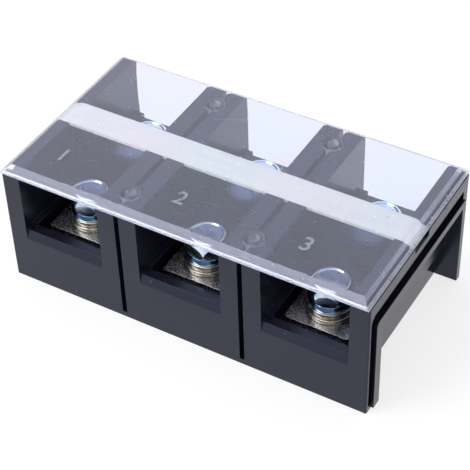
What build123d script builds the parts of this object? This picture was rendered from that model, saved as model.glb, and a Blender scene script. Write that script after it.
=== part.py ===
from build123d import *
import os

# Three-pole power terminal block with a clear cover.
# Frame: +X along the row of poles, +Y towards the rear wiring side, +Z up.
# The origin is the middle of the mounting face. All sizes are millimetres.

# Poles
pole_count = 3
pole_pitch = 45.0
window_width = 30.5

# Moulded base
end_wall = 6.75
base_depth = 71.0
ledge_height = 45.1
plateau_rise = 1.3
plateau_bevel = 0.7
plateau_inset = 1.3
floor_height = 17.8
floor_thickness = 3.0
skirt_thickness = 3.0
sill_height = 21.9
sill_depth = 4.6
sill_slant_run = 1.1
sill_slant_drop = 3.3
corner_round = 0.5

# Central divider between the front and rear chambers
divider_thickness = 9.3
divider_skin = 1.8
divider_web = 2.5

# Guide rails at the feet of the chamber walls
rail_width = 2.15
rail_height = 5.5
front_rail_on_sill = 0.8
rear_rail_on_sill = 3.8

# Barriers: slot round the outside, hollow from below
slot_width = 1.8
slot_depth = 4.0
slot_foot = 2.0
slot_round = 3.0
slot_overcut = 1.0
barrier_skin = 2.5
barrier_roof = 7.5
barrier_hollow_setback = 8.25

# Mounting holes, shared by the mounting screws and the pegs of the cover
mount_setback = 9.25
mount_hole = 4.5
mount_seat_height = 10.0
peg_hole = 7.4
peg_hole_flare = 0.3

# End faces
band_height = 4.6
groove_height = 3.3
groove_leg = 2.2
groove_depth = 1.6
groove_round = 3.0
groove_foot = 2.0
groove_rear_stop = 3.5
front_band = 1.1
rib_height = 2.7
rib_leg = 3.7
rib_proud = 0.9
pocket_wall = 1.75
pocket_rear_wall = 2.85
foot_wall_setback = 8.2
foot_wall = 2.0
pit_size = 0.8
pit_y = 17.3
pit_drop = 0.9

# Conductor bars
bar_width = 22.5
bar_setback = 7.5
bar_thickness = 3.0
bar_corner = 1.0
collar_diameter = 12.0
collar_height = 5.0
bar_gap = 0.3
cup_gap = 0.75
cup_wall = 1.8
cup_bottom = 2.0

# Terminal screws, M8 with a hexagon head, and their washers
screw_setback = 10.2
thread_diameter = 8.0
thread_gap = 0.05
screw_length = 16.0
screw_tip = 0.8
tip_room = 2.0
head_across_flats = 13.0
head_corner_diameter = 14.6
head_round_diameter = 14.2
head_height = 7.3
head_collar = 1.4
head_chamfer = 0.5
flat_foot_diameter = 13.2
outer_head_turn = 15.0
middle_head_turn = -10.0
washer_hole = 8.4
flat_washer_diameter = 16.0
flat_washer_thickness = 1.6
spring_washer_diameter = 14.8
spring_washer_thickness = 2.1
spring_washer_split = 1.2
spring_washer_slant = 20.0

# Bar screws, M4 pan head from below
bar_screw_diameter = 4.0
bar_screw_hole_gap = 0.15
bar_screw_head = 7.8
bar_screw_head_height = 2.6
bar_screw_head_round = 0.85
bar_screw_recess = 1.2
bar_screw_recess_length = 4.3

# Marking strip
strip_width = 11.3
strip_thickness = 1.1
strip_gap = 0.15
strip_bend_length = 4.2
strip_bend_drop = 1.2
strip_notch_width = 10.0
strip_notch_depth = 2.1

# Clear cover
cover_sheet = 1.65
cover_rest_height = 0.15
cover_rest_width = 1.5
cover_wall = 1.3
cover_bevel = 3.0
cover_overhang = 1.0
cover_end_inset = 0.2
cover_lip_gap = 0.4
cover_lip_height = 0.4
cover_side_gap = 0.3
cover_corner = 1.0
peg_gap = 0.2
peg_length = 9.0
peg_bore = 3.8
peg_lead = 0.5
gate_mark = 1.3
gate_mark_depth = 0.3

# Places that follow from the sizes above
barrier_thickness = pole_pitch - window_width
base_length = (pole_count - 1) * pole_pitch + window_width + 2 * end_wall
half_length = base_length / 2
half_depth = base_depth / 2
mount_pitch_y = base_depth - 2 * mount_setback
barrier_hollow_length = mount_pitch_y - 2 * barrier_hollow_setback
bar_length = base_depth - 2 * bar_setback
screw_reach = bar_length / 2 - screw_setback
pole_places = [(i - (pole_count - 1) / 2) * pole_pitch for i in range(pole_count)]
barrier_places = [(i - (pole_count - 2) / 2) * pole_pitch for i in range(pole_count - 1)]
plateau_top = ledge_height + plateau_rise
floor_bottom = floor_height - floor_thickness
skirt_inside = half_depth - skirt_thickness
sill_inside = half_depth - sill_depth
divider_face = divider_thickness / 2
bar_top = floor_height + bar_thickness
flat_washer_top = bar_top + flat_washer_thickness
spring_washer_top = flat_washer_top + spring_washer_thickness
screw_tip_height = spring_washer_top - screw_length
cup_floor = min(screw_tip_height, floor_height - collar_height) - tip_room
cup_bore = collar_diameter + 2 * cup_gap
rail_inset = window_width / 2 - rail_width / 2

# Cover places
cover_half_x = half_length - cover_end_inset
cover_half_y = half_depth + cover_overhang
cover_inner_x = cover_half_x - cover_wall
cover_inner_y = cover_half_y - cover_wall
cover_bottom = ledge_height + cover_lip_gap
cover_lip_top = cover_bottom + cover_lip_height
cover_under = plateau_top + cover_rest_height
cover_top = cover_under + cover_sheet
plateau_half_x = cover_inner_x - cover_side_gap
plateau_half_y = half_depth - plateau_inset

# Strip places
channel_floor = plateau_top - strip_thickness
channel_half = strip_width / 2 + strip_gap
strip_half_length = cover_inner_x - cover_side_gap
strip_bend_start = strip_half_length - strip_bend_length

# Height of the features on the end faces
groove_top = ledge_height - band_height
rib_top = groove_top - groove_height
pocket_top = rib_top - rib_height
groove_front = -half_depth + front_band
rib_front = groove_front + groove_leg
pocket_front = rib_front + rib_leg
pocket_rear = half_depth - pocket_rear_wall
groove_rear = half_depth - groove_rear_stop

# Both end faces look the same from their own side, a half turn about Z apart
end_faces = [
    Plane.YZ.offset(half_length),
    Plane(origin=(-half_length, 0, 0), x_dir=(0, -1, 0), z_dir=(-1, 0, 0)),
]


def slot_outline():
    """The barrier's slot seen from the side: up the front face and back along the top to the strip."""
    outside = half_depth + slot_overcut
    above = plateau_top + slot_overcut
    inner_y = half_depth - slot_depth
    inner_z = plateau_top - slot_depth
    with BuildSketch() as face:
        with BuildLine():
            Polyline(
                (-outside, slot_foot),
                (-inner_y, slot_foot),
                (-inner_y, inner_z),
                (-channel_half, inner_z),
                (-channel_half, above),
                (-outside, above),
                close=True,
            )
        make_face()
        inner_corner = face.vertices().sort_by_distance((-inner_y, inner_z, 0))[0]
        fillet(inner_corner, slot_round)
        mirror(about=Plane.YZ)
    return face.sketch


def groove_outline():
    """The dark groove on an end face: along the top, round the front corner and down."""
    with BuildSketch() as face:
        with BuildLine():
            Polyline(
                (groove_front, groove_foot),
                (groove_front, groove_top),
                (groove_rear, groove_top),
                (groove_rear, rib_top),
                (rib_front, rib_top),
                (rib_front, groove_foot),
                close=True,
            )
        make_face()
        outer_corner = face.vertices().sort_by_distance((groove_front, groove_top, 0))[0]
        fillet(outer_corner, groove_round)
        inner_corner = face.vertices().sort_by_distance((rib_front, rib_top, 0))[0]
        fillet(inner_corner, groove_round - groove_leg / 2)
    return face.sketch


def rib_outline():
    """The raised rib on an end face, inside the groove."""
    with BuildSketch() as face:
        with BuildLine():
            Polyline(
                (rib_front, 0),
                (rib_front, rib_top),
                (groove_rear, rib_top),
                (groove_rear, pocket_top),
                (pocket_front, pocket_top),
                (pocket_front, 0),
                close=True,
            )
        make_face()
        outer_corner = face.vertices().sort_by_distance((rib_front, rib_top, 0))[0]
        fillet(outer_corner, groove_round - groove_leg / 2)
    return face.sketch


def pocket_outline(top):
    """The open pocket inside the rib, from the mounting face up to the given height."""
    with BuildSketch() as face:
        with Locations(((pocket_front + pocket_rear) / 2, top / 2)):
            Rectangle(pocket_rear - pocket_front, top)
    return face.sketch


def cover_section(half_width):
    """The cover's outside cut across: a low lip, then the bevel up to the flat top."""
    with BuildSketch() as face:
        with BuildLine():
            Polyline(
                (-half_width, cover_bottom),
                (half_width, cover_bottom),
                (half_width, cover_lip_top),
                (half_width - cover_bevel, cover_top),
                (-half_width + cover_bevel, cover_top),
                (-half_width, cover_lip_top),
                close=True,
            )
        make_face()
    return face.sketch


# Base
with BuildPart() as base:
    with BuildSketch():
        RectangleRounded(base_length, base_depth, corner_round)
    extrude(amount=ledge_height)
    with BuildSketch(Plane.XY.offset(ledge_height)):
        Rectangle(2 * plateau_half_x, 2 * plateau_half_y)
    extrude(amount=plateau_rise)
    chamfer(base.faces().sort_by(Axis.Z)[-1].edges(), plateau_bevel)

    # Chambers, two at each pole, and the windows above the sills
    chamber_depth = sill_inside - divider_face
    with BuildSketch(Plane.XY.offset(floor_height)):
        with GridLocations(pole_pitch, sill_inside + divider_face, pole_count, 2):
            Rectangle(window_width, chamber_depth)
    extrude(amount=plateau_top - floor_height, mode=Mode.SUBTRACT)
    with BuildSketch(Plane.XY.offset(sill_height)):
        with GridLocations(pole_pitch, base_depth - sill_depth, pole_count, 2):
            Rectangle(window_width, sill_depth)
    extrude(amount=plateau_top - sill_height, mode=Mode.SUBTRACT)

    # Slant on the outer edge of each sill
    with BuildSketch(*[Plane.YZ.offset(x) for x in pole_places]):
        with BuildLine():
            Polyline(
                (-half_depth, sill_height - sill_slant_drop),
                (-half_depth + sill_slant_run, sill_height),
                (-half_depth, sill_height),
                close=True,
            )
        make_face()
        mirror(about=Plane.YZ)
    extrude(amount=window_width / 2, both=True, mode=Mode.SUBTRACT)

    # Rails at the feet of the chamber walls, longer over the rear sill than over the front one
    front_rail_end = -sill_inside - front_rail_on_sill
    rear_rail_end = sill_inside + rear_rail_on_sill
    with BuildSketch(Plane.XY.offset(floor_height)):
        for rail_end, divider_side in ((front_rail_end, -divider_face), (rear_rail_end, divider_face)):
            with Locations(*[(x, (rail_end + divider_side) / 2) for x in pole_places]):
                with GridLocations(2 * rail_inset, 0, 2, 1):
                    Rectangle(rail_width, abs(rail_end - divider_side))
    extrude(amount=rail_height)

    # Hollow underside: one space under each pole, inside the skirts
    foot_inside = half_length - foot_wall_setback - foot_wall
    with BuildSketch():
        for x in pole_places:
            low_x = max(x - window_width / 2, -foot_inside)
            high_x = min(x + window_width / 2, foot_inside)
            with Locations(((low_x + high_x) / 2, 0)):
                Rectangle(high_x - low_x, 2 * skirt_inside)
    extrude(amount=floor_bottom, mode=Mode.SUBTRACT)

    # Barriers hollow from below between the mounting holes
    with BuildSketch():
        with Locations(*[(x, 0) for x in barrier_places]):
            Rectangle(barrier_thickness - 2 * barrier_skin, barrier_hollow_length)
    extrude(amount=plateau_top - barrier_roof, mode=Mode.SUBTRACT)

    # Closed cups under the floor round each collar and screw tip
    with BuildSketch(Plane.XY.offset(cup_floor - cup_bottom)):
        with GridLocations(pole_pitch, 2 * screw_reach, pole_count, 2):
            Circle(cup_bore / 2 + cup_wall)
    extrude(amount=floor_bottom - cup_floor + cup_bottom)
    with BuildSketch(Plane.XY.offset(cup_floor)):
        with GridLocations(pole_pitch, 2 * screw_reach, pole_count, 2):
            Circle(cup_bore / 2)
    extrude(amount=floor_height - cup_floor, mode=Mode.SUBTRACT)

    # Holes for the bar screws
    with BuildSketch(Plane.XY.offset(floor_bottom)):
        with Locations(*[(x, 0) for x in pole_places]):
            Circle(bar_screw_diameter / 2 + bar_screw_hole_gap)
    extrude(amount=floor_thickness, mode=Mode.SUBTRACT)

    # Opening under the divider for each bar, and the coring above it
    with BuildSketch(Plane.XY.offset(floor_height)):
        with Locations(*[(x, 0) for x in pole_places]):
            Rectangle(bar_width + 2 * bar_gap, divider_thickness)
    extrude(amount=bar_thickness + bar_gap, mode=Mode.SUBTRACT)
    core_floor = bar_top + bar_gap + divider_web
    with BuildSketch(Plane.XY.offset(core_floor)):
        with Locations(*[(x, 0) for x in pole_places]):
            Rectangle(window_width - 2 * divider_skin, divider_thickness - 2 * divider_skin)
    extrude(amount=plateau_top - core_floor, mode=Mode.SUBTRACT)

    # Channel for the marking strip, deeper at its bent ends, with a notch in each end
    with BuildSketch(Plane.XY.offset(channel_floor)):
        Rectangle(base_length, 2 * channel_half)
    extrude(amount=strip_thickness, mode=Mode.SUBTRACT)
    bed_floor = channel_floor - strip_bend_drop - strip_gap
    bed_length = strip_bend_length + strip_gap + cover_side_gap
    with BuildSketch(Plane.XY.offset(bed_floor)):
        with GridLocations(2 * strip_bend_start + bed_length, 0, 2, 1):
            Rectangle(bed_length, 2 * channel_half)
    extrude(amount=channel_floor - bed_floor, mode=Mode.SUBTRACT)
    with BuildSketch(Plane.XY.offset(ledge_height - strip_notch_depth)):
        with GridLocations(base_length - cover_wall - cover_end_inset, 0, 2, 1):
            Rectangle(2 * (cover_wall + cover_end_inset), strip_notch_width)
    extrude(amount=strip_notch_depth, mode=Mode.SUBTRACT)

    # Slots in the barriers
    for x in barrier_places:
        side_plane = Plane.YZ.offset(x)
        extrude(side_plane * slot_outline(), amount=slot_width / 2, both=True, mode=Mode.SUBTRACT)

    # Mounting holes, wide above for the screw heads and the pegs
    with BuildSketch():
        with GridLocations(pole_pitch, mount_pitch_y, pole_count - 1, 2):
            Circle(mount_hole / 2)
    extrude(amount=mount_seat_height, mode=Mode.SUBTRACT)
    with BuildSketch(Plane.XY.offset(mount_seat_height)):
        with GridLocations(pole_pitch, mount_pitch_y, pole_count - 1, 2):
            Circle(peg_hole / 2)
    extrude(amount=plateau_top - mount_seat_height, mode=Mode.SUBTRACT)
    with BuildSketch(Plane.XY.offset(plateau_top - peg_hole_flare)):
        with GridLocations(pole_pitch, mount_pitch_y, pole_count - 1, 2):
            Circle(peg_hole / 2 + peg_hole_flare)
    extrude(amount=peg_hole_flare, mode=Mode.SUBTRACT)

    # End faces
    for end_face in end_faces:
        extrude(end_face * groove_outline(), amount=-groove_depth, mode=Mode.SUBTRACT)
        extrude(end_face * rib_outline(), amount=rib_proud)
        extrude(end_face * pocket_outline(pocket_top), amount=pocket_wall - end_wall, mode=Mode.SUBTRACT)
        extrude(end_face * pocket_outline(floor_bottom), amount=-foot_wall_setback, mode=Mode.SUBTRACT)
    with BuildSketch(end_faces[0]):
        with Locations((pit_y, ledge_height - pit_drop)):
            Circle(pit_size / 2)
    extrude(amount=-pit_size / 2, mode=Mode.SUBTRACT)
base.part.label = "base"


# Clear cover
with BuildPart() as cover:
    with BuildSketch(Plane.XY.offset(cover_bottom)):
        RectangleRounded(2 * cover_half_x, 2 * cover_half_y, cover_corner)
    extrude(amount=cover_top - cover_bottom)
    extrude(Plane.YZ * cover_section(cover_half_y), amount=cover_half_x, both=True, mode=Mode.INTERSECT)
    extrude(Plane.XZ * cover_section(cover_half_x), amount=cover_half_y, both=True, mode=Mode.INTERSECT)

    # Hollow from below, its top edges bevelled beside the base's plateau
    with BuildSketch(Plane.XY.offset(cover_bottom)):
        Rectangle(2 * cover_inner_x, 2 * cover_inner_y)
    extrude(amount=cover_under - plateau_bevel - cover_bottom, mode=Mode.SUBTRACT)
    with BuildSketch(Plane.XY.offset(cover_under - plateau_bevel)):
        Rectangle(2 * cover_inner_x, 2 * cover_inner_y)
    with BuildSketch(Plane.XY.offset(cover_under)):
        Rectangle(2 * (cover_inner_x - plateau_bevel), 2 * (cover_inner_y - plateau_bevel))
    loft(mode=Mode.SUBTRACT)

    # Thin round rests that keep the sheet clear of the plateau, and hollow pegs that plug into the holes
    peg_diameter = peg_hole - 2 * peg_gap
    with BuildSketch(Plane.XY.offset(cover_under)):
        with GridLocations(pole_pitch, mount_pitch_y, pole_count - 1, 2):
            Circle(peg_diameter / 2 + cover_rest_width)
    extrude(amount=-cover_rest_height)
    with BuildSketch(Plane.XY.offset(cover_under)):
        with GridLocations(pole_pitch, mount_pitch_y, pole_count - 1, 2):
            Circle(peg_diameter / 2)
    extrude(amount=-peg_length)
    peg_ends = cover.faces().group_by(Axis.Z)[0]
    chamfer(peg_ends.edges(), peg_lead)
    with BuildSketch(Plane.XY.offset(cover_under - peg_length)):
        with GridLocations(pole_pitch, mount_pitch_y, pole_count - 1, 2):
            Circle(peg_bore / 2)
    extrude(amount=peg_length, mode=Mode.SUBTRACT)

    # Small sunk gate mark over each peg
    with BuildSketch(Plane.XY.offset(cover_top)):
        with GridLocations(pole_pitch, mount_pitch_y, pole_count - 1, 2):
            Circle(gate_mark / 2)
    extrude(amount=-gate_mark_depth, mode=Mode.SUBTRACT)
cover.part.label = "cover"


# Marking strip, its ends bent down
with BuildPart() as marking_strip:
    middle = plateau_top - strip_thickness / 2
    with BuildSketch(Plane.XZ.offset(-strip_width / 2)):
        with BuildLine():
            flat = Line((0, middle), (strip_bend_start, middle))
            TangentArc(
                (strip_bend_start, middle),
                (strip_half_length - strip_gap, middle - strip_bend_drop),
                tangent=flat % 1,
            )
        trace(line_width=strip_thickness)
        mirror(about=Plane.YZ)
    extrude(amount=strip_width)
marking_strip.part.label = "marking_strip"


def conductor_bar(x):
    """Flat bar with two tapped collars drawn down from it and a tapped hole in the middle."""
    with BuildPart() as bar:
        with BuildSketch(Plane.XY.offset(floor_height)):
            with Locations((x, 0)):
                RectangleRounded(bar_width, bar_length, bar_corner)
        extrude(amount=bar_thickness)
        with BuildSketch(Plane.XY.offset(floor_height)):
            with Locations((x, screw_reach), (x, -screw_reach)):
                Circle(collar_diameter / 2)
        extrude(amount=-collar_height)
        with BuildSketch(Plane.XY.offset(bar_top)):
            with Locations((x, screw_reach), (x, -screw_reach)):
                Circle(thread_diameter / 2)
        extrude(amount=-bar_thickness - collar_height, mode=Mode.SUBTRACT)
        with BuildSketch(Plane.XY.offset(bar_top)):
            with Locations((x, 0)):
                Circle(bar_screw_diameter / 2)
        extrude(amount=-bar_thickness, mode=Mode.SUBTRACT)
    return bar.part


def terminal_screw(x, y, turn):
    """Hexagon-head screw with a barrel-shaped head: oval flats above a round collar."""
    collar_top = spring_washer_top + head_collar
    head_top = spring_washer_top + head_height
    profile_plane = Plane(origin=(x, y, 0), x_dir=(1, 0, 0), z_dir=(0, -1, 0))
    with BuildPart() as screw:
        with BuildSketch(Plane.XY.offset(collar_top)):
            with Locations(Location((x, y), turn)):
                RegularPolygon(head_across_flats / 2, 6, major_radius=False)
        extrude(amount=head_top - collar_top)
        with BuildSketch(profile_plane):
            with BuildLine():
                barrel = ThreePointArc(
                    (flat_foot_diameter / 2, collar_top),
                    (head_corner_diameter / 2, (collar_top + head_top) / 2),
                    (flat_foot_diameter / 2, head_top),
                )
                Polyline(barrel @ 1, (0, head_top), (0, collar_top), barrel @ 0)
            make_face()
        revolve(axis=Axis((x, y, 0), (0, 0, 1)), mode=Mode.INTERSECT)
        with BuildSketch(profile_plane):
            with BuildLine():
                Polyline(
                    (0, spring_washer_top),
                    (head_round_diameter / 2 - head_chamfer, spring_washer_top),
                    (head_round_diameter / 2, spring_washer_top + head_chamfer),
                    (head_round_diameter / 2, collar_top - head_chamfer),
                    (head_round_diameter / 2 - head_chamfer, collar_top),
                    (0, collar_top),
                    close=True,
                )
            make_face()
        revolve(axis=Axis((x, y, 0), (0, 0, 1)))
        with BuildSketch(Plane.XY.offset(spring_washer_top)):
            with Locations((x, y)):
                Circle(thread_diameter / 2 - thread_gap)
        extrude(amount=-screw_length)
        tip = screw.faces().sort_by(Axis.Z)[0]
        chamfer(tip.edges(), screw_tip)
    return screw.part


def flat_washer(x, y):
    """Plain round washer on the bar."""
    with BuildPart() as washer:
        with BuildSketch(Plane.XY.offset(bar_top)):
            with Locations((x, y)):
                Circle(flat_washer_diameter / 2)
                Circle(washer_hole / 2, mode=Mode.SUBTRACT)
        extrude(amount=flat_washer_thickness)
    return washer.part


def spring_washer(x, y):
    """Spring washer pressed flat, with its slanted split at the side."""
    with BuildPart() as washer:
        with BuildSketch(Plane.XY.offset(flat_washer_top)):
            with Locations((x, y)):
                Circle(spring_washer_diameter / 2)
                Circle(washer_hole / 2, mode=Mode.SUBTRACT)
        extrude(amount=spring_washer_thickness)
        middle_height = flat_washer_top + spring_washer_thickness / 2
        split_face = Plane(origin=(x, y, middle_height), x_dir=(0, 1, 0), z_dir=(1, 0, 0))
        with BuildSketch(split_face):
            with Locations(Location((0, 0), spring_washer_slant)):
                Rectangle(spring_washer_split, 2 * spring_washer_thickness)
        extrude(amount=spring_washer_diameter / 2, mode=Mode.SUBTRACT)
    return washer.part


def bar_screw(x):
    """Pan-head screw up through the floor into the bar."""
    with BuildPart() as screw:
        with BuildSketch(Plane.XY.offset(floor_bottom)):
            with Locations((x, 0)):
                Circle(bar_screw_head / 2)
        extrude(amount=-bar_screw_head_height)
        bottom = screw.faces().sort_by(Axis.Z)[0]
        fillet(bottom.edges(), bar_screw_head_round)
        with BuildSketch(Plane.XY.offset(floor_bottom)):
            with Locations((x, 0)):
                Circle(bar_screw_diameter / 2 - thread_gap)
        extrude(amount=floor_thickness + bar_thickness)
        with BuildSketch(Plane.XY.offset(floor_bottom - bar_screw_head_height)):
            with Locations((x, 0)):
                Rectangle(bar_screw_recess_length, bar_screw_recess)
                Rectangle(bar_screw_recess, bar_screw_recess_length)
        extrude(amount=bar_screw_recess, mode=Mode.SUBTRACT)
    return screw.part


def save(part, name):
    """Label a finished piece and write it."""
    part.label = name
    export_step(part, f"parts/{name}.step")


# One piece of each kind at each pole, with the middle pole's screws turned differently from the others
os.makedirs("parts", exist_ok=True)
save(base.part, "base")
save(cover.part, "cover")
save(marking_strip.part, "marking_strip")
for pole, x in enumerate(pole_places, start=1):
    save(conductor_bar(x), f"conductor_bar_{pole}")
    save(bar_screw(x), f"bar_screw_{pole}")
    for row, y in (("front", -screw_reach), ("rear", screw_reach)):
        turn = outer_head_turn if pole % 2 else middle_head_turn
        save(terminal_screw(x, y, turn), f"screw_{row}_{pole}")
        save(spring_washer(x, y), f"spring_washer_{row}_{pole}")
        save(flat_washer(x, y), f"flat_washer_{row}_{pole}")
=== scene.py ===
import bpy
import math
from mathutils import Matrix, Vector


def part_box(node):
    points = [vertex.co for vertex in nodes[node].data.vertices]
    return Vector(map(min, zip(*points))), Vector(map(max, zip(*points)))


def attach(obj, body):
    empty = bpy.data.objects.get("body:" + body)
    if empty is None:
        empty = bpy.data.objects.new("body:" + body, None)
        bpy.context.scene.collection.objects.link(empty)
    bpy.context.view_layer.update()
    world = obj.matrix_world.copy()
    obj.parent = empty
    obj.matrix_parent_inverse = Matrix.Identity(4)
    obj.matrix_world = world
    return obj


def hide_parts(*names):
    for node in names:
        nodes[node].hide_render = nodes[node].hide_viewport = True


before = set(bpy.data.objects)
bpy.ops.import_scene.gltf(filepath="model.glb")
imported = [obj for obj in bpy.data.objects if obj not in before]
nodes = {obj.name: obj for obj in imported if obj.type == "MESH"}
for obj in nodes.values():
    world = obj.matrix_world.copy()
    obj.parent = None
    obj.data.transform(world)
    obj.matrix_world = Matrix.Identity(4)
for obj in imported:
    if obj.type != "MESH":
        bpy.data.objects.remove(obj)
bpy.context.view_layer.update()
bpy.ops.object.select_all(action="DESELECT")


# Moulded base. One dark thermoset moulding, satin from the mould, with faint flow
# mottle, a few pale dust specks and edges rubbed slightly paler. The paler edge colour
# is partly wear and partly a painted highlight along the edges.

def new_material(name, colour, roughness, metallic=0.0):
    """A material with one Principled shader, on plain values that patterns may drive later."""
    material = bpy.data.materials.new(name)
    material.use_nodes = True
    shader = material.node_tree.nodes["Principled BSDF"]
    shader.inputs["Base Color"].default_value = (*colour, 1.0)
    shader.inputs["Roughness"].default_value = roughness
    shader.inputs["Metallic"].default_value = metallic
    return material, shader


def dress(node_name, material):
    """Gives a CAD node one material all over."""
    mesh = nodes[node_name].data
    mesh.materials.clear()
    mesh.materials.append(material)


def group_with_sockets(name, inputs, outputs):
    """A shader node group with a vector, named number inputs and outputs, and its two end nodes."""
    group = bpy.data.node_groups.new(name, "ShaderNodeTree")
    for label, value in inputs.items():
        kind = "NodeSocketVector" if label == "Vector" else "NodeSocketFloat"
        socket = group.interface.new_socket(label, in_out="INPUT", socket_type=kind)
        if label != "Vector":
            socket.default_value = value
    for label in outputs:
        group.interface.new_socket(label, in_out="OUTPUT", socket_type="NodeSocketFloat")
    start = group.nodes.new("NodeGroupInput")
    end = group.nodes.new("NodeGroupOutput")
    return group, start, end


def feed(tree, value, socket):
    """Links a socket to another node's output, or sets it to a plain number."""
    if isinstance(value, bpy.types.NodeSocket):
        tree.links.new(value, socket)
    else:
        socket.default_value = value


def noise_in(tree, vector, scale, detail):
    """The value of a noise texture that reads the given vector at the given scale."""
    noise = tree.nodes.new("ShaderNodeTexNoise")
    noise.inputs["Detail"].default_value = detail
    feed(tree, vector, noise.inputs["Vector"])
    feed(tree, scale, noise.inputs["Scale"])
    return noise.outputs["Fac"]


def math_in(tree, operation, first, second, third=0.0, clamp=False):
    """The value of a math node on sockets or plain numbers."""
    node = tree.nodes.new("ShaderNodeMath")
    node.operation = operation
    node.use_clamp = clamp
    for place, value in enumerate((first, second, third)):
        feed(tree, value, node.inputs[place])
    return node.outputs["Value"]


def rounded_normal(tree, radius):
    """The surface normal as it would be on edges rounded by the radius."""
    rounded = tree.nodes.new("ShaderNodeBevel")
    rounded.samples = 6
    feed(tree, radius, rounded.inputs["Radius"])
    return rounded.outputs["Normal"]


def moulded_grain():
    """Group: fine mould grain as a height, and slow flow mottle as a mask."""
    group, start, end = group_with_sockets(
        "moulded_grain", {"Vector": None, "Grain": 2600.0, "Mottle": 45.0}, ("Height", "Mottle")
    )
    fine_detail, slow_detail = 2.0, 4.0
    fine = noise_in(group, start.outputs["Vector"], start.outputs["Grain"], fine_detail)
    slow = noise_in(group, start.outputs["Vector"], start.outputs["Mottle"], slow_detail)
    group.links.new(fine, end.inputs["Height"])
    group.links.new(slow, end.inputs["Mottle"])
    return group


def specks_and_scratches():
    """Group: sparse round specks and short thin curved scratches, each as a mask."""
    group, start, end = group_with_sockets(
        "specks_and_scratches",
        {"Vector": None, "Speck Scale": 500.0, "Rarity": 0.8, "Scratch Scale": 60.0, "Scratch Width": 0.001},
        ("Specks", "Scratches")
    )
    plain, speck_sharpness, scratch_level, break_scale, break_level = 0.0, 40.0, 0.5, 170.0, 0.6
    dots = noise_in(group, start.outputs["Vector"], start.outputs["Speck Scale"], plain)
    lines = noise_in(group, start.outputs["Vector"], start.outputs["Scratch Scale"], plain)
    breaks = noise_in(group, start.outputs["Vector"], break_scale, plain)
    rise = math_in(group, "SUBTRACT", dots, start.outputs["Rarity"])
    specks = math_in(group, "MULTIPLY", rise, speck_sharpness, clamp=True)
    contour = math_in(group, "COMPARE", lines, scratch_level, start.outputs["Scratch Width"])
    short = math_in(group, "GREATER_THAN", breaks, break_level)
    scratches = math_in(group, "MULTIPLY", contour, short)
    group.links.new(specks, end.inputs["Specks"])
    group.links.new(scratches, end.inputs["Scratches"])
    return group


def edge_wear():
    """Group: where outer edges are rubbed and carry a painted highlight, broken up along their length, as a
    mask.
    """
    group, start, end = group_with_sockets(
        "edge_wear", {"Vector": None, "Radius": 0.0003, "Breakup": 300.0}, ("Wear",)
    )
    edge_gain, patch_detail, patch_contrast, patch_offset = 7.0, 2.0, 4.0, -1.4
    surface = group.nodes.new("ShaderNodeNewGeometry")
    agree = group.nodes.new("ShaderNodeVectorMath")
    agree.operation = "DOT_PRODUCT"
    group.links.new(rounded_normal(group, start.outputs["Radius"]), agree.inputs[0])
    group.links.new(surface.outputs["Normal"], agree.inputs[1])
    patches = noise_in(group, start.outputs["Vector"], start.outputs["Breakup"], patch_detail)
    turned_away = math_in(group, "SUBTRACT", 1.0, agree.outputs["Value"])
    on_edge = math_in(group, "MULTIPLY", turned_away, edge_gain, clamp=True)
    patchy = math_in(group, "MULTIPLY_ADD", patches, patch_contrast, patch_offset, clamp=True)
    group.links.new(math_in(group, "MULTIPLY", on_edge, patchy), end.inputs["Wear"])
    return group


def add_group(material, group, values):
    """Places a group in a material, reading the object's own coordinates."""
    tree = material.node_tree
    place = tree.nodes.new("ShaderNodeTexCoord")
    node = tree.nodes.new("ShaderNodeGroup")
    node.node_tree = group
    tree.links.new(place.outputs["Object"], node.inputs["Vector"])
    for label, value in values.items():
        node.inputs[label].default_value = value
    return node


def shade_by(material, mask, socket, low, high):
    """Drives a shader's colour or number from low to high by a mask."""
    tree = material.node_tree
    noise_low, noise_high = 0.3, 0.7
    ramp = tree.nodes.new("ShaderNodeValToRGB")
    for stop, position, colour in zip(ramp.color_ramp.elements, (noise_low, noise_high), (low, high)):
        stop.position = position
        stop.color = (*colour, 1.0)
    tree.links.new(mask, ramp.inputs["Fac"])
    tree.links.new(ramp.outputs["Color"], socket)


def bump_by(material, shader, height, depth, edge_round=0.00015):
    """Feeds a height into the shader's normal, over edges that shade as slightly rounded."""
    tree = material.node_tree
    bump = tree.nodes.new("ShaderNodeBump")
    bump.inputs["Strength"].default_value = 1.0
    bump.inputs["Distance"].default_value = depth
    tree.links.new(height, bump.inputs["Height"])
    tree.links.new(rounded_normal(tree, edge_round), bump.inputs["Normal"])
    tree.links.new(bump.outputs["Normal"], shader.inputs["Normal"])


def layered(material, mask, colour, socket):
    """Lays a colour over what drives a socket wherever the mask is 1. Returns the lower socket."""
    tree = material.node_tree
    mix = tree.nodes.new("ShaderNodeMix")
    mix.data_type = "RGBA"
    tree.links.new(mask, mix.inputs["Factor"])
    under = next(s for s in mix.inputs if s.name == "A" and s.type == "RGBA")
    over = next(s for s in mix.inputs if s.name == "B" and s.type == "RGBA")
    result = next(s for s in mix.outputs if s.type == "RGBA")
    over.default_value = (*colour, 1.0)
    tree.links.new(result, socket)
    return under


def grey(value):
    """A neutral colour that carries a number."""
    return (value, value, value)


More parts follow.
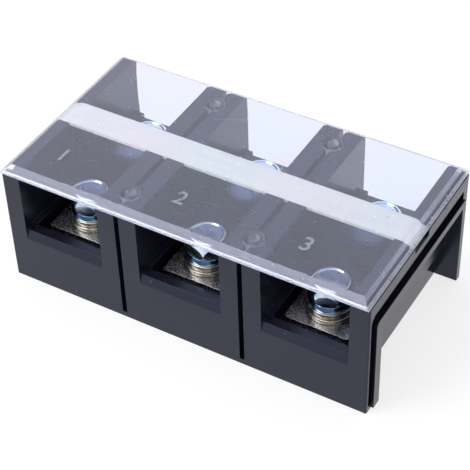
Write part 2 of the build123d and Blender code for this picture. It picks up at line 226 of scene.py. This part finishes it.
base_dark, base_pale, base_tint = (0.0052, 0.0054, 0.0105), (0.0080, 0.0083, 0.015), (0.62, 0.68, 1.0)
dust_colour, scratch_colour, rubbed_and_highlight_colour = (0.05, 0.055, 0.07), (0.028, 0.031, 0.042), (0.030, 0.033, 0.044)
base_gloss, base_satin, rubbed_roughness, mould_grain_depth = 0.16, 0.26, 0.36, 0.000012
grain = moulded_grain()
marks = specks_and_scratches()
base_plastic, base_shader = new_material("moulded_base", (0.0065, 0.0062, 0.010), 0.22)
base_shader.inputs["Specular Tint"].default_value = (*base_tint, 1.0)
base_grain = add_group(base_plastic, grain, {"Grain": 2600.0, "Mottle": 45.0})
base_marks = add_group(base_plastic, marks, {"Speck Scale": 650.0, "Rarity": 0.83, "Scratch Scale": 110.0})
base_wear_and_highlight = add_group(base_plastic, edge_wear(), {"Radius": 0.0003, "Breakup": 260.0})
base_colour = base_shader.inputs["Base Color"]
# The paler edge colour is partly rubbed wear and partly a painted highlight along the edges.
for mask, colour in ((base_marks.outputs["Specks"], dust_colour),
                     (base_marks.outputs["Scratches"], scratch_colour),
                     (base_wear_and_highlight.outputs["Wear"], rubbed_and_highlight_colour)):
    base_colour = layered(base_plastic, mask, colour, base_colour)
shade_by(base_plastic, base_grain.outputs["Mottle"], base_colour, base_dark, base_pale)
base_roughness = layered(base_plastic, base_wear_and_highlight.outputs["Wear"], grey(rubbed_roughness),
                         base_shader.inputs["Roughness"])
shade_by(base_plastic, base_grain.outputs["Mottle"], base_roughness, grey(base_gloss), grey(base_satin))
bump_by(base_plastic, base_shader, base_grain.outputs["Height"], mould_grain_depth)
dress("base", base_plastic)


# Conductor bars. Flat brass bars, brushed along their length before they are nickel
# plated, with two tapped collars drawn down from each. A small screw holds each from below.

def brushed_grain():
    """Group: long fine scratches along one axis, as a height and a mask."""
    group, start, end = group_with_sockets(
        "brushed_grain", {"Vector": None, "Along X": 60.0, "Along Y": 2400.0, "Along Z": 2400.0},
        ("Height", "Mask")
    )
    stretch = group.nodes.new("ShaderNodeCombineXYZ")
    for axis in "XYZ":
        group.links.new(start.outputs[f"Along {axis}"], stretch.inputs[axis])
    scaled = group.nodes.new("ShaderNodeVectorMath")
    scaled.operation = "MULTIPLY"
    group.links.new(start.outputs["Vector"], scaled.inputs[0])
    group.links.new(stretch.outputs["Vector"], scaled.inputs[1])
    unscaled, scratch_detail = 1.0, 3.0
    scratch = noise_in(group, scaled.outputs["Vector"], unscaled, scratch_detail)
    group.links.new(scratch, end.inputs["Height"])
    group.links.new(scratch, end.inputs["Mask"])
    return group


poles = (1, 2, 3)
nickel_dark, nickel_pale, nickel_grain_depth = (0.26, 0.25, 0.25), (0.54, 0.52, 0.50), 0.00006
brushed = brushed_grain()
bar_plate, bar_shader = new_material("nickel_plate", (0.45, 0.43, 0.41), 0.25, metallic=1.0)
bar_grain = add_group(bar_plate, brushed, {"Along X": 3000.0, "Along Y": 2200.0, "Along Z": 3000.0})
shade_by(bar_plate, bar_grain.outputs["Mask"], bar_shader.inputs["Base Color"], nickel_dark, nickel_pale)
shade_by(bar_plate, bar_grain.outputs["Mask"], bar_shader.inputs["Roughness"], grey(0.16), grey(0.30))
bump_by(bar_plate, bar_shader, bar_grain.outputs["Height"], nickel_grain_depth)
for pole in poles:
    dress(f"conductor_bar_{pole}", bar_plate)


# Terminal screws. Cold-headed M8 steel screws with blue-white zinc plate: a round collar whose
# slope is coloured dark navy as painted shade, oval flats on a barrel-shaped head, a dished top
# with a raised rim that handling has rubbed, its paler colour a painted highlight all round, and a
# rolled thread that turns in the bar's collar.

same_point = 0.000001


def pick(body, *others):
    """Selects the given bodies alone and makes the first one active."""
    bpy.ops.object.select_all(action="DESELECT")
    for item in (body, *others):
        item.select_set(True)
    bpy.context.view_layer.objects.active = body


def edit_all(body):
    """Puts one body alone into edit mode with everything selected."""
    pick(body)
    bpy.ops.object.mode_set(mode="EDIT")
    bpy.ops.mesh.select_all(action="SELECT")


def leave_edit(merge_distance=0.0):
    """Leaves edit mode, with near points merged if asked and every face pointing outwards."""
    bpy.ops.mesh.select_all(action="SELECT")
    if merge_distance:
        bpy.ops.mesh.remove_doubles(threshold=merge_distance)
    bpy.ops.mesh.normals_make_consistent(inside=False)
    bpy.ops.object.mode_set(mode="OBJECT")


def turned(name, profile, sides):
    """A body drawn up ring by ring from a disc, as on a lathe. Profile: radius and height pairs."""
    bpy.ops.object.select_all(action="DESELECT")
    first_radius, first_height = profile[0]
    bpy.ops.mesh.primitive_circle_add(vertices=sides, radius=first_radius, fill_type="NGON",
                                      location=(0, 0, first_height))
    body = bpy.context.active_object
    body.name = name
    bpy.ops.object.transform_apply(location=True, rotation=True, scale=True)
    edit_all(body)
    for (radius, height), (next_radius, next_height) in zip(profile, profile[1:]):
        rise = (0, 0, next_height - height)
        spread = next_radius / radius
        bpy.ops.mesh.extrude_region_move(TRANSFORM_OT_translate={"value": rise})
        bpy.ops.transform.resize(value=(spread, spread, 1), center_override=(0, 0, next_height))
    leave_edit()
    return body


def combine(body, tool, operation):
    """Applies a boolean of two closed bodies and removes the tool."""
    cut = body.modifiers.new(operation.lower(), "BOOLEAN")
    cut.operation = operation
    cut.object = tool
    cut.solver = "EXACT"
    pick(body)
    bpy.ops.object.modifier_apply(modifier=cut.name)
    bpy.data.objects.remove(tool)
    return body


def smooth(body, angle):
    """Smooth shading across edges flatter than the angle in degrees."""
    pick(body)
    bpy.ops.object.shade_smooth_by_angle(angle=math.radians(angle))


def placed_copy(pattern, name, place, turn=0.0):
    """A copy with its own mesh, turned and set at its place in the mesh."""
    piece = pattern.copy()
    piece.data = pattern.data.copy()
    piece.name = name
    bpy.context.scene.collection.objects.link(piece)
    piece.data.transform(Matrix.Translation(place) @ Matrix.Rotation(turn, 4, "Z"))
    return piece


def box_middle(node_name):
    """The X and Y of the middle of a CAD node's box."""
    low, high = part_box(node_name)
    return (low.x + high.x) / 2, (low.y + high.y) / 2


def barrel_profile(end_radius, middle_radius, low, high, rings):
    """Radius and height pairs on a flat arc, widest at half height."""
    middle = (low + high) / 2
    bulge = middle_radius - end_radius
    heights = [low + (high - low) * i / (rings - 1) for i in range(rings)]
    return [(middle_radius - bulge * ((z - middle) / (high - middle)) ** 2, z) for z in heights]


def hexagon_head(height):
    """The head alone, its bearing face at Z = 0 and two flats facing +Y and -Y."""
    collar_radius, collar_side_height, collar_height, collar_round = 0.0071, 0.00115, 0.0022, 0.0003
    collar_roof_radius, collar_roof_rise, overlap = 0.004, 0.0003, 0.0001
    flat_distance, barrel_end, barrel_middle, barrel_drop = 0.0065, 0.00645, 0.0074, 0.0005
    rim_outer, rim_inner, rim_bevel, rim_drop = 0.00605, 0.0056, 0.0002, 0.00015
    dish_radius, dish_middle, dish_depth = 0.0052, 0.0002, 0.00035
    barrel_rings, sides = 13, 120
    barrel = barrel_profile(barrel_end, barrel_middle, collar_height - overlap, height - barrel_drop,
                            barrel_rings)
    rim = [(rim_outer + rim_bevel, height - rim_drop), (rim_outer, height), (rim_inner, height),
           (dish_radius, height - dish_depth), (dish_middle, height - dish_depth)]
    head = turned("head", barrel + rim, sides)
    bpy.ops.object.select_all(action="DESELECT")
    bpy.ops.mesh.primitive_cylinder_add(vertices=6, radius=flat_distance / math.cos(math.pi / 6),
                                        depth=2 * height, location=(0, 0, height))
    prism = bpy.context.active_object
    combine(head, prism, "INTERSECT")
    quarter = [(math.sin(math.radians(a)), math.cos(math.radians(a))) for a in (0, 30, 60, 90)]
    collar_side = [(collar_radius - collar_round + collar_round * s, collar_round - collar_round * c)
                   for s, c in quarter]
    collar_slope = [(collar_radius, collar_side_height), (flat_distance + overlap, collar_height)]
    collar_roof = [(collar_roof_radius, collar_height + collar_roof_rise)]
    collar = turned("collar", collar_side + collar_slope + collar_roof, sides)
    return combine(head, collar, "UNION")


def threaded_shank(length, pitch):
    """The shank under the head, with its thread as a helical ridge and a chamfered tip."""
    root, crest, tip, sunk = 0.00332, 0.00395, 0.0008, 0.0001
    neck_foot, neck_top, into_head = 0.0004, 0.0002, 0.0002
    half_flank, half_land = 0.42 * pitch, 0.06 * pitch
    core_sides, steps_a_turn = 64, 40
    core_profile = [(root - tip, -length), (root, -length + tip), (root, -neck_foot),
                    (crest, -neck_top), (crest, into_head)]
    core = turned("core", core_profile, core_sides)
    turns = math.floor((length - 2 * pitch) / pitch)
    middle = -length + pitch
    bpy.ops.object.select_all(action="DESELECT")
    bpy.ops.mesh.primitive_plane_add(size=pitch, location=(root, 0, middle), rotation=(math.pi / 2, 0, 0))
    ridge = bpy.context.active_object
    bpy.ops.object.transform_apply(location=True, rotation=True, scale=True)
    for corner in ridge.data.vertices:
        outer = corner.co.x > root
        half = half_land if outer else half_flank
        rise = half if corner.co.z > middle else -half
        corner.co = (crest if outer else root - sunk, 0, middle + rise)
    sweep = ridge.modifiers.new("sweep", "SCREW")
    sweep.axis = "Z"
    sweep.angle = 2 * math.pi
    sweep.screw_offset = pitch
    sweep.iterations = turns
    sweep.steps = steps_a_turn
    sweep.render_steps = steps_a_turn
    sweep.use_merge_vertices = True
    bpy.ops.object.modifier_apply(modifier=sweep.name)
    edit_all(ridge)
    bpy.ops.mesh.remove_doubles(threshold=same_point)
    bpy.ops.mesh.select_all(action="DESELECT")
    bpy.ops.mesh.select_non_manifold()
    bpy.ops.mesh.edge_face_add()
    leave_edit()
    pick(core, ridge)
    bpy.ops.object.join()
    return core


screw_rows = ("front", "rear")
thread_pitch = 0.00125
screw_low, screw_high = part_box("screw_front_1")
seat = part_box("spring_washer_front_1")[1].z
head_height = screw_high.z - seat
screw_pattern = hexagon_head(head_height)
pick(screw_pattern, threaded_shank(seat - screw_low.z, thread_pitch))
bpy.ops.object.join()
smooth(screw_pattern, angle=25)


def plated_steel(name, casts, grazing_tint, roughness, grain_depth):
    """Zinc plate that drifts between two casts and two roughnesses, tinted in grazing light."""
    material, shader = new_material(name, casts[1], roughness[0], metallic=1.0)
    shader.inputs["Specular Tint"].default_value = (*grazing_tint, 1.0)
    plate_grain = add_group(material, grain, {"Grain": 2400.0, "Mottle": 350.0})
    shade_by(material, plate_grain.outputs["Mottle"], shader.inputs["Base Color"], *casts)
    shade_by(material, plate_grain.outputs["Mottle"], shader.inputs["Roughness"],
             grey(roughness[0]), grey(roughness[1]))
    bump_by(material, shader, plate_grain.outputs["Height"], grain_depth, edge_round=0.0001)
    return material


zinc_blue = (0.30, 0.52, 0.80)
zinc_plate = plated_steel("zinc_plate", ((0.40, 0.55, 0.76), (0.70, 0.78, 0.86)), zinc_blue,
                          (0.10, 0.20), 0.000010)
# Rim: rougher from rubbing, and a paler colour that is a painted highlight all round the rim.
rim_wear_and_highlight_plate = plated_steel("rubbed_rim_and_highlight", ((0.74, 0.80, 0.88), (0.92, 0.94, 0.96)), (0.80, 0.88, 1.0),
                         (0.26, 0.42), 0.000015)
# Collar slope: a dark navy colour that is painted shade.
collar_painted_shade_plate = plated_steel("zinc_painted_shade", ((0.025, 0.06, 0.13), (0.06, 0.13, 0.24)), zinc_blue,
                          (0.12, 0.22), 0.000010)
rim_depth, rim_inside, rim_outside = 0.00016, 0.0053, 0.0064
slope_foot, slope_top, slope_inside = 0.0012, 0.0022, 0.0060
for plate in (zinc_plate, rim_wear_and_highlight_plate, collar_painted_shade_plate):
    screw_pattern.data.materials.append(plate)
# Rim faces take the paler painted highlight, and collar slope faces take the dark navy painted shade.
for face in screw_pattern.data.polygons:
    from_axis = math.hypot(face.center.x, face.center.y)
    if face.center.z > head_height - rim_depth and rim_inside < from_axis < rim_outside:
        face.material_index = 1
    elif slope_foot < face.center.z < slope_top and from_axis > slope_inside:
        face.material_index = 2

outer_pole_turn, middle_pole_turn = math.radians(-15), math.radians(-40)
for row in screw_rows:
    for pole in poles:
        place = (*box_middle(f"screw_{row}_{pole}"), seat)
        turn = middle_pole_turn if pole == 2 else outer_pole_turn
        screw = placed_copy(screw_pattern, f"terminal_screw_{row}_{pole}", place, turn)
        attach(screw, f"screw_{row}_{pole}")
        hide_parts(f"screw_{row}_{pole}")
bpy.data.objects.remove(screw_pattern)


# Washers. A stamped flat washer with rounded edges on the bar, and on it a split spring
# washer of square wire, pressed flat by the screw. Both are zinc-plated steel, with a plate
# that has dulled to a warmer grey than the screws'.

washer_plate = plated_steel("washer_plate", ((0.30, 0.29, 0.27), (0.60, 0.56, 0.49)), (0.30, 0.44, 0.64),
                            (0.14, 0.30), 0.000020)


def spun_ring(name, outer, thickness, sweep_angle):
    """A ring spun from a section with rounded corners, its lower face at Z = 0."""
    inner, rounding, steps = 0.0042, 0.0003, 96
    bpy.ops.object.select_all(action="DESELECT")
    bpy.ops.mesh.primitive_plane_add(size=1, rotation=(math.pi / 2, 0, 0),
                                     location=((inner + outer) / 2, 0, thickness / 2))
    ring = bpy.context.active_object
    ring.name = name
    ring.scale = (outer - inner, thickness, 1)
    bpy.ops.object.transform_apply(location=True, rotation=True, scale=True)
    edit_all(ring)
    bpy.ops.mesh.bevel(offset=rounding, segments=3, affect="VERTICES")
    bpy.ops.mesh.select_all(action="SELECT")
    if math.isclose(sweep_angle, 2 * math.pi):
        bpy.ops.mesh.delete(type="ONLY_FACE")
        bpy.ops.mesh.select_all(action="SELECT")
    bpy.ops.mesh.spin(steps=steps, angle=sweep_angle, center=(0, 0, 0), axis=(0, 0, 1))
    leave_edit(same_point)
    smooth(ring, angle=35)
    ring.data.materials.append(washer_plate)
    return ring


def slant_split(ring, thickness):
    """Leans the two ends of a split ring so that the split is not upright."""
    slant, reach = math.radians(20), math.radians(40)
    for vertex in ring.data.vertices:
        lean = (vertex.co.z - thickness / 2) * math.tan(slant) / vertex.co.xy.length
        angle = math.atan2(vertex.co.y, vertex.co.x)
        near = max(0.0, 1.0 - abs(angle) / reach)
        vertex.co = Matrix.Rotation(lean * near, 3, "Z") @ vertex.co


flat_low, flat_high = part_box("flat_washer_front_1")
split_low, split_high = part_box("spring_washer_front_1")
split_thickness = split_high.z - split_low.z
split_half_width, split_middle_radius = 0.0006, 0.0074
split_half_angle = math.asin(split_half_width / split_middle_radius)
flat_pattern = spun_ring("flat_pattern", (flat_high.x - flat_low.x) / 2, flat_high.z - flat_low.z,
                         2 * math.pi)
split_pattern = spun_ring("split_pattern", (split_high.y - split_low.y) / 2, split_thickness,
                          2 * (math.pi - split_half_angle))
split_pattern.data.transform(Matrix.Rotation(split_half_angle, 4, "Z"))
slant_split(split_pattern, split_thickness)
for row in screw_rows:
    for pole in poles:
        for pattern, kind in ((flat_pattern, "flat"), (split_pattern, "spring")):
            node_name = f"{kind}_washer_{row}_{pole}"
            middle_x, middle_y = box_middle(f"screw_{row}_{pole}")[0], box_middle(node_name)[1]
            place = (middle_x, middle_y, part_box(node_name)[0].z)
            washer = placed_copy(pattern, f"plated_{node_name}", place)
            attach(washer, f"washers_{row}_{pole}")
            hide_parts(node_name)
bpy.data.objects.remove(flat_pattern)
bpy.data.objects.remove(split_pattern)


# Bar screws. Small pan-head steel screws with a cross recess, driven up through the floor to
# hold the bars, with the same zinc plate as the terminal screws.

for pole in poles:
    dress(f"bar_screw_{pole}", zinc_plate)


# Marking strip. An extruded white plastic strip with a faint lengthwise grain and a few dark
# specks, laid in the channel along the block, its ends bent down.

strip_dark, strip_pale, strip_speck = (0.74, 0.725, 0.64), (0.82, 0.805, 0.71), (0.22, 0.21, 0.20)
strip_grain_depth = 0.00002
strip_white, strip_shader = new_material("strip_white", (0.78, 0.765, 0.675), 0.45)
strip_grain = add_group(strip_white, brushed, {"Along X": 40.0, "Along Y": 1800.0, "Along Z": 1800.0})
strip_marks = add_group(strip_white, marks, {"Speck Scale": 620.0, "Rarity": 0.84})
strip_colour = layered(strip_white, strip_marks.outputs["Specks"], strip_speck,
                       strip_shader.inputs["Base Color"])
shade_by(strip_white, strip_grain.outputs["Mask"], strip_colour, strip_dark, strip_pale)
bump_by(strip_white, strip_shader, strip_grain.outputs["Height"], strip_grain_depth)
dress("marking_strip", strip_white)


# Clear cover. One injection-moulded hood of clear, faintly blue plastic: a bevelled sheet with
# a frosted lip, hollow frosted pegs that plug into the block, a gate mark over each peg, and
# frosted pole numbers sunk into the top. It is pushed on and pulled off by hand.

def blend_shaders(tree, share, first, second):
    """Puts a blend of two shaders on the surface: the second one where the share is 1."""
    mix = tree.nodes.new("ShaderNodeMixShader")
    for value, socket in zip((share, first, second), mix.inputs):
        tree.links.new(value, socket)
    tree.links.new(mix.outputs["Shader"], tree.nodes["Material Output"].inputs["Surface"])


def clear_plastic(name, colour, roughness, transmission):
    """Refractive plastic. Lamp light goes straight through it, with the tint of a thin sheet."""
    grazing_tint, thin_tint = (0.76, 0.79, 1.0), (0.92, 0.915, 0.90)
    material, shader = new_material(name, colour, roughness)
    shader.inputs["Transmission Weight"].default_value = transmission
    shader.inputs["IOR"].default_value = 1.5
    shader.inputs["Specular Tint"].default_value = (*grazing_tint, 1.0)
    tree = material.node_tree
    light_path = tree.nodes.new("ShaderNodeLightPath")
    see_through = tree.nodes.new("ShaderNodeBsdfTransparent")
    see_through.inputs["Color"].default_value = (*thin_tint, 1.0)
    blend_shaders(tree, light_path.outputs["Is Shadow Ray"], shader.outputs["BSDF"],
                  see_through.outputs["BSDF"])
    return material, shader


cover_edge_round, cover_wave_depth, frost_depth = 0.00006, 0.000002, 0.000005
stress_blue, stress_violet = (0.755, 0.825, 0.955), (0.825, 0.80, 0.95)
cover_clear, cover_shader = clear_plastic("clear_cover", (0.79, 0.82, 0.95), 0.02, transmission=0.97)
cover_grain = add_group(cover_clear, grain, {"Grain": 90.0, "Mottle": 28.0})
cover_marks = add_group(cover_clear, marks, {"Speck Scale": 600.0, "Rarity": 0.80, "Scratch Scale": 75.0})
shade_by(cover_clear, cover_grain.outputs["Mottle"], cover_shader.inputs["Base Color"],
         stress_blue, stress_violet)
cover_rough = layered(cover_clear, cover_marks.outputs["Scratches"], grey(0.5),
                      cover_shader.inputs["Roughness"])
shade_by(cover_clear, cover_marks.outputs["Specks"], cover_rough, grey(0.02), grey(0.30))
bump_by(cover_clear, cover_shader, cover_grain.outputs["Height"], cover_wave_depth, cover_edge_round)

frosted, frosted_shader = clear_plastic("frosted_cover", (0.76, 0.79, 0.88), 0.35, transmission=0.7)
frosted_grain = add_group(frosted, grain, {"Grain": 4000.0, "Mottle": 900.0})
shade_by(frosted, frosted_grain.outputs["Mottle"], frosted_shader.inputs["Roughness"], grey(0.22), grey(0.45))
bump_by(frosted, frosted_shader, frosted_grain.outputs["Height"], frost_depth, cover_edge_round)


def stepped_block(name, half_x, half_y, foot, shoulder, top, run):
    """A flat block with upright sides to its shoulder and a bevel from there to its top."""
    bpy.ops.object.select_all(action="DESELECT")
    bpy.ops.mesh.primitive_cube_add(size=1, location=(0, 0, (foot + shoulder) / 2),
                                    scale=(2 * half_x, 2 * half_y, shoulder - foot))
    block = bpy.context.active_object
    block.name = name
    bpy.ops.object.transform_apply(location=True, rotation=True, scale=True)
    edit_all(block)
    bpy.ops.mesh.select_all(action="DESELECT")
    bpy.ops.object.mode_set(mode="OBJECT")
    facing_up = 0.9
    for face in block.data.polygons:
        face.select = face.normal.z > facing_up
    bpy.ops.object.mode_set(mode="EDIT")
    bpy.ops.mesh.extrude_region_move(TRANSFORM_OT_translate={"value": (0, 0, top - shoulder)})
    bpy.ops.transform.resize(value=((half_x - run) / half_x, (half_y - run) / half_y, 1),
                             center_override=(0, 0, top))
    bpy.ops.object.mode_set(mode="OBJECT")
    return block


cover_low, cover_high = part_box("cover")
cover_half_x, cover_half_y, peg_foot, cover_top = cover_high.x, cover_high.y, cover_low.z, cover_high.z
sheet_thickness, cover_wall, cover_bevel, inner_bevel = 0.00165, 0.0013, 0.003, 0.0007
lip_foot, lip_top, tool_reach = 0.0455, 0.0459, 0.001
sheet_under = cover_top - sheet_thickness
cover_sheet = stepped_block("clear_sheet", cover_half_x, cover_half_y, lip_foot, lip_top, cover_top,
                            cover_bevel)
hollow = stepped_block("hollow", cover_half_x - cover_wall, cover_half_y - cover_wall, lip_foot - tool_reach,
                       sheet_under - inner_bevel, sheet_under, inner_bevel)
combine(cover_sheet, hollow, "DIFFERENCE")

peg_radius, peg_bore, peg_lead, peg_root, peg_sides = 0.0035, 0.0019, 0.0005, 0.0005, 48
bore_reach, gate_radius, gate_depth = 0.0001, 0.00065, 0.0003
peg_places = [(x, y) for x in (-0.0225, 0.0225) for y in (-0.02625, 0.02625)]
peg_outside = [(peg_radius - peg_lead, peg_foot), (peg_radius, peg_foot + peg_lead),
               (peg_radius, sheet_under + peg_root)]
peg_inside = [(peg_bore + peg_lead, peg_foot - bore_reach), (peg_bore, peg_foot + peg_lead),
              (peg_bore, sheet_under)]
gate_sides = [(gate_radius, cover_top - gate_depth), (gate_radius, cover_top + tool_reach)]
for profile, operation in ((peg_outside, "UNION"), (peg_inside, "DIFFERENCE"), (gate_sides, "DIFFERENCE")):
    pattern = turned("turned_form", profile, peg_sides)
    for x, y in peg_places:
        combine(cover_sheet, placed_copy(pattern, "form", (x, y, 0)), operation)
    bpy.data.objects.remove(pattern)

numeral_height, numeral_depth, numeral_y, numeral_left = 0.0085, 0.0001, -0.0245, 0.0065
for pole in poles:
    bpy.ops.object.select_all(action="DESELECT")
    bpy.ops.object.text_add()
    numeral = bpy.context.active_object
    numeral.data.body = str(pole)
    numeral.data.size = numeral_height
    numeral.data.extrude = numeral_depth
    numeral.data.bevel_depth = numeral_depth
    numeral.data.bevel_resolution = 1
    numeral.data.resolution_u = 4
    numeral.data.align_x = "CENTER"
    bpy.ops.object.convert(target="MESH")
    numeral = bpy.context.active_object
    numeral_x = box_middle(f"conductor_bar_{pole}")[0] - numeral_left
    numeral.data.transform(Matrix.Translation((numeral_x, numeral_y, cover_top)))
    edit_all(numeral)
    leave_edit(same_point / 2)
    combine(cover_sheet, numeral, "DIFFERENCE")

mould_rounding = 0.00012
rounding = cover_sheet.modifiers.new("rounding", "BEVEL")
rounding.width = mould_rounding
rounding.segments = 2
rounding.limit_method = "ANGLE"
rounding.angle_limit = math.radians(35)
bpy.ops.object.modifier_apply(modifier=rounding.name)
smooth(cover_sheet, angle=10)
cover_sheet.name = "clear_cover_sheet"
cover_sheet.data.materials.append(cover_clear)
cover_sheet.data.materials.append(frosted)
peg_margin, numeral_margin, upright_limit = 0.0002, 0.001, 0.8
engraved_low, engraved_high, lip_high = cover_top - 0.0005, cover_top - 0.00001, lip_top + 0.00005
for face in cover_sheet.data.polygons:
    x, y, z = face.center
    on_peg = any(math.hypot(x - peg_x, y - peg_y) < peg_radius + peg_margin for peg_x, peg_y in peg_places)
    peg_side = on_peg and z < sheet_under and abs(face.normal.z) < upright_limit
    on_lip = z < lip_high and not on_peg
    in_numeral_row = numeral_y - numeral_margin < y < numeral_y + numeral_height and not on_peg
    on_flat_top = abs(x) < cover_half_x - cover_bevel
    engraved = in_numeral_row and on_flat_top and engraved_low < z < engraved_high
    if peg_side or on_lip or engraved:
        face.material_index = 1
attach(cover_sheet, "cover")
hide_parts("cover")


# Stage. A white floor that keeps the block's shadow, white surroundings, two soft lamps that
# stand where the cover's front bevel and its flat top mirror them, and the camera at the
# angle the block is seen from.

def sees_white(tree):
    """A number that is 1 for rays that look at the background: camera, mirror and glass rays."""
    light_path = tree.nodes.new("ShaderNodeLightPath")
    seen = light_path.outputs["Is Camera Ray"]
    for label in ("Is Glossy Ray", "Is Transmission Ray"):
        seen = math_in(tree, "MAXIMUM", seen, light_path.outputs[label])
    return seen


def make_world(fill):
    """White for rays that look at it, and a soft fill light for all others."""
    world = bpy.data.worlds.new("white_surroundings")
    bpy.context.scene.world = world
    world.use_nodes = True
    tree = world.node_tree
    background = tree.nodes["Background"]
    background.inputs["Color"].default_value = (1.0, 1.0, 1.0, 1.0)
    spread = tree.nodes.new("ShaderNodeMapRange")
    spread.inputs["To Min"].default_value = fill
    spread.inputs["To Max"].default_value = 1.0
    tree.links.new(sees_white(tree), spread.inputs["Value"])
    tree.links.new(spread.outputs["Result"], background.inputs["Strength"])


def make_floor(half_size, shadow_lift):
    """A pale floor at the mounting face that keeps the shadow of the block, seen lighter by the lift."""
    below_block, floor_colour, white_strength = 0.00005, (0.86, 0.86, 0.87), 1.08
    bpy.ops.mesh.primitive_plane_add(size=2 * half_size, location=(0, 0, -below_block))
    floor = bpy.context.active_object
    floor.name = "floor"
    material, shader = new_material("white_floor", floor_colour, 0.9)
    shader.inputs["Specular IOR Level"].default_value = 0.0
    tree = material.node_tree
    white = tree.nodes.new("ShaderNodeEmission")
    white.inputs["Strength"].default_value = white_strength
    lifted = math_in(tree, "MULTIPLY", sees_white(tree), shadow_lift)
    blend_shaders(tree, lifted, shader.outputs["BSDF"], white.outputs["Emission"])
    floor.data.materials.append(material)


def soft_lamp(name, place, size, power):
    """A square soft lamp that faces the middle of the block."""
    aim = Vector((0, 0, 0.02))
    data = bpy.data.lights.new(name, "AREA")
    data.size = size
    data.energy = power
    lamp = bpy.data.objects.new(name, data)
    bpy.context.scene.collection.objects.link(lamp)
    lamp.location = place
    lamp.rotation_mode = "QUATERNION"
    lamp.rotation_quaternion = (aim - Vector(place)).to_track_quat("-Z", "Y")


make_world(fill=0.75)
make_floor(half_size=1.5, shadow_lift=0.7)
soft_lamp("key_lamp", place=(-0.35, -0.435, 0.727), size=0.4, power=4.0)
soft_lamp("back_lamp", place=(-0.5, 0.82, 0.9), size=1.2, power=1.8)

camera_place = Vector((0.197984, -0.322426, 0.360262))
camera_forward = Vector((-0.388535, 0.631670, -0.670846))
camera_roll = math.radians(-2.071)
level_right = camera_forward.cross(Vector((0, 0, 1))).normalized()
level_up = level_right.cross(camera_forward)
camera_right = math.cos(camera_roll) * level_right + math.sin(camera_roll) * level_up
camera_up = -math.sin(camera_roll) * level_right + math.cos(camera_roll) * level_up
camera_data = bpy.data.cameras.new("camera")
camera_data.lens = 116.575
camera_data.sensor_width = 36.0
camera = bpy.data.objects.new("camera", camera_data)
bpy.context.scene.collection.objects.link(camera)
turn = Matrix((camera_right, camera_up, -camera_forward)).transposed()
camera.matrix_world = Matrix.Translation(camera_place) @ turn.to_4x4()
bpy.context.scene.camera = camera
bpy.context.scene.view_settings.view_transform = "Standard"
